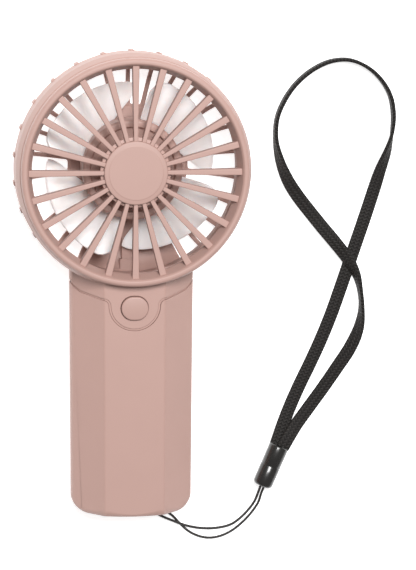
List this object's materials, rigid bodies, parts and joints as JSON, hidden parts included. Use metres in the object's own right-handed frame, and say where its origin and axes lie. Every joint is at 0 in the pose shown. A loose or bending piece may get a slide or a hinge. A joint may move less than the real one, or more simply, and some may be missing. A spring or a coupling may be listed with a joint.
{
  "type": "handheld electric fan",
  "caption": "Palm-size electric fan with a round caged head, a one-button eight-sided handle and a flat wrist strap on a thin cord and bead.",
  "frame": {"origin": "under the middle of the fan, on the surface that its back lies on, measured without the strap", "axes": "+Z out of the front grille, +Y from the handle towards the head, +X to the right when the grille faces the viewer"},
  "size_m": [0.1498, 0.195, 0.032],
  "materials": {
    "pink_casing": "fine matte moulded plastic, dusty pink",
    "pink_button": "fine matte moulded plastic, dusty pink",
    "pearl_impeller": "pearl white moulded plastic",
    "steel": "plated steel",
    "magnet": "dark ferrite",
    "brass": "turned brass",
    "lamination": "stacked steel laminations with a lacquer",
    "copper_wire": "enamelled copper wire",
    "circuit_board": "green solder mask",
    "white_chassis": "plain natural plastic",
    "cell_wrap": "shrink wrap",
    "nickel": "nickel strip",
    "foam": "closed foam",
    "black_package": "moulded black package",
    "ceramic": "ceramic with tinned ends",
    "red_lead": "flexible insulation",
    "black_lead": "flexible insulation",
    "black_cord": "fine braided cord",
    "black_bead": "glossy black plastic",
    "black_webbing": "flat braided webbing"
  },
  "bodies": {
    "fan": {"front_grille": "pink_casing", "head_housing": "pink_casing", "rear_grille": "pink_casing", "handle_sleeve": "pink_casing", "front_bearing": "steel", "rear_bearing": "steel", "bearing_holder": "brass", "stator_core": "lamination", "stator_windings": "copper_wire", "motor_board": "circuit_board", "motor_screws": "steel", "chassis": "white_chassis", "chassis_screws": "steel", "battery_cell": "cell_wrap", "battery_tabs": "nickel", "battery_pads": "foam", "main_board": "circuit_board", "board_screws": "steel", "control_chip": "black_package", "power_inductor": "magnet", "board_capacitors": "ceramic", "tact_switch": "black_package", "charge_board": "circuit_board", "usb_shell": "steel", "usb_tongue": "black_package", "motor_leads": "red_lead", "battery_leads": "red_lead", "charge_leads": "black_lead", "strap_cord": "black_cord", "strap_bead": "black_bead", "strap_webbing": "black_webbing"},
    "rotor": {"impeller": "pearl_impeller", "rotor_cup": "steel", "rotor_magnet": "magnet", "motor_shaft": "steel", "shaft_clip": "steel"},
    "button": {"power_button": "pink_button", "switch_plunger": "white_chassis"}
  },
  "joints": [
    {"name": "impeller_spin", "type": "hinge", "parent": "fan", "child": "rotor", "pos_m": [0, 0.044, 0.008], "axis": [0, 0, 1], "continuous": true},
    {"name": "button_press", "type": "slide", "parent": "fan", "child": "button", "axis": [0, 0, -1], "range_m": [0, 0.0006], "stiffness_N_per_m": 800}
  ]
}
